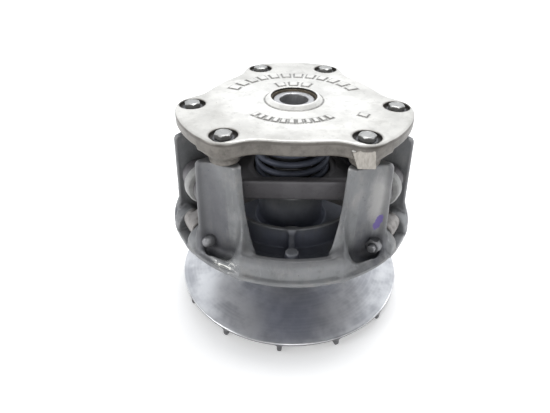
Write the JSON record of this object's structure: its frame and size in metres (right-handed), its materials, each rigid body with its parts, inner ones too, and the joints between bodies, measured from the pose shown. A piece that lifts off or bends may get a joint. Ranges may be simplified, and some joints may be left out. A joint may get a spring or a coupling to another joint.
{
  "type": "cvt drive pulley set",
  "caption": "Belt drive variator: a finned fixed sheave on a shaft, and a moveable sheave with towers, cover, flyweights, cam rollers and a coil spring that closes the belt groove.",
  "frame": {"origin": "on the shaft's axis, at the level of the fin bottoms that the part stands on", "axes": "+Z along the shaft towards the cover; one window between towers faces -Y"},
  "size_m": [0.209, 0.209, 0.1821],
  "materials": {
    "machined_aluminium": "satin, streaked belt face",
    "cast_metal": "matte casting with worn edges",
    "cover_metal": "satin casting, grimy skirt",
    "dark_cast": "matte casting, dusty",
    "shaft_steel": "ground",
    "spring_steel": "semi-gloss paint",
    "bushing": "satin",
    "dark_steel": "oiled steel",
    "zinc_steel": "zinc plated, dull",
    "roller_polymer": "matte, dusty"
  },
  "bodies": {
    "fixed_half": {"fixed_sheave": "machined_aluminium", "clutch_shaft": "shaft_steel", "spider_spacer": "dark_steel", "spider": "dark_cast", "spider_jam_nut": "dark_steel", "limiter_spacer": "dark_steel", "drive_spring": "spring_steel", "roller_pin_1": "shaft_steel", "roller_washer_1a": "dark_steel", "roller_washer_1b": "dark_steel", "slide_button_1a": "roller_polymer", "slide_button_1b": "roller_polymer", "roller_pin_2": "shaft_steel", "roller_washer_2a": "dark_steel", "roller_washer_2b": "dark_steel", "slide_button_2a": "roller_polymer", "slide_button_2b": "roller_polymer", "roller_pin_3": "shaft_steel", "roller_washer_3a": "dark_steel", "roller_washer_3b": "dark_steel", "slide_button_3a": "roller_polymer", "slide_button_3b": "roller_polymer"},
    "moveable_half": {"moveable_sheave": "cast_metal", "sheave_bushing": "bushing", "cover": "cover_metal", "cover_bushing": "bushing", "flyweight_bolt_1": "dark_steel", "flyweight_nut_1": "zinc_steel", "flyweight_bolt_2": "dark_steel", "flyweight_nut_2": "zinc_steel", "flyweight_bolt_3": "dark_steel", "flyweight_nut_3": "zinc_steel", "cover_bolt_1": "zinc_steel", "cover_washer_1": "dark_steel", "cover_bolt_2": "zinc_steel", "cover_washer_2": "dark_steel", "cover_bolt_3": "zinc_steel", "cover_washer_3": "dark_steel", "cover_bolt_4": "zinc_steel", "cover_washer_4": "dark_steel", "cover_bolt_5": "zinc_steel", "cover_washer_5": "dark_steel", "cover_bolt_6": "zinc_steel", "cover_washer_6": "dark_steel"},
    "flyweight_arm_1": {"flyweight_1": "dark_steel", "flyweight_bushing_1": "bushing"},
    "cam_roller_1": {"roller_1": "roller_polymer", "roller_bushing_1": "bushing"},
    "flyweight_arm_2": {"flyweight_2": "dark_steel", "flyweight_bushing_2": "bushing"},
    "cam_roller_2": {"roller_2": "roller_polymer", "roller_bushing_2": "bushing"},
    "flyweight_arm_3": {"flyweight_3": "dark_steel", "flyweight_bushing_3": "bushing"},
    "cam_roller_3": {"roller_3": "roller_polymer", "roller_bushing_3": "bushing"}
  },
  "joints": [
    {"name": "sheave_shift", "type": "slide", "parent": "fixed_half", "child": "moveable_half", "axis": [0, 0, -1], "range_m": [0, 0.031], "stiffness_N_per_m": 25400, "springref_m": -0.021, "deforming": ["drive_spring"]},
    {"name": "flyweight_swing_1", "type": "hinge", "parent": "moveable_half", "child": "flyweight_arm_1", "pos_m": [0, 0.0895, 0.0895], "axis": [-1, 0, 0], "range_deg": [0, 60.5]},
    {"name": "flyweight_swing_2", "type": "hinge", "parent": "moveable_half", "child": "flyweight_arm_2", "pos_m": [-0.07751, -0.04475, 0.0895], "axis": [0.5, -0.866, 0], "range_deg": [0, 60.5]},
    {"name": "flyweight_swing_3", "type": "hinge", "parent": "moveable_half", "child": "flyweight_arm_3", "pos_m": [0.07751, -0.04475, 0.0895], "axis": [0.5, 0.866, 0], "range_deg": [0, 60.5]},
    {"name": "roller_spin_1", "type": "hinge", "parent": "fixed_half", "child": "cam_roller_1", "pos_m": [0, 0.0795, 0.125], "axis": [-1, 0, 0], "continuous": true},
    {"name": "roller_spin_2", "type": "hinge", "parent": "fixed_half", "child": "cam_roller_2", "pos_m": [-0.06885, -0.03975, 0.125], "axis": [0.5, -0.866, 0], "continuous": true},
    {"name": "roller_spin_3", "type": "hinge", "parent": "fixed_half", "child": "cam_roller_3", "pos_m": [0.06885, -0.03975, 0.125], "axis": [0.5, 0.866, 0], "continuous": true}
  ],
  "couplings": [
    {"joint": "flyweight_swing_1", "follows": "sheave_shift", "rad_per_m": 33.781},
    {"joint": "flyweight_swing_2", "follows": "sheave_shift", "rad_per_m": 33.781},
    {"joint": "flyweight_swing_3", "follows": "sheave_shift", "rad_per_m": 33.781}
  ]
}
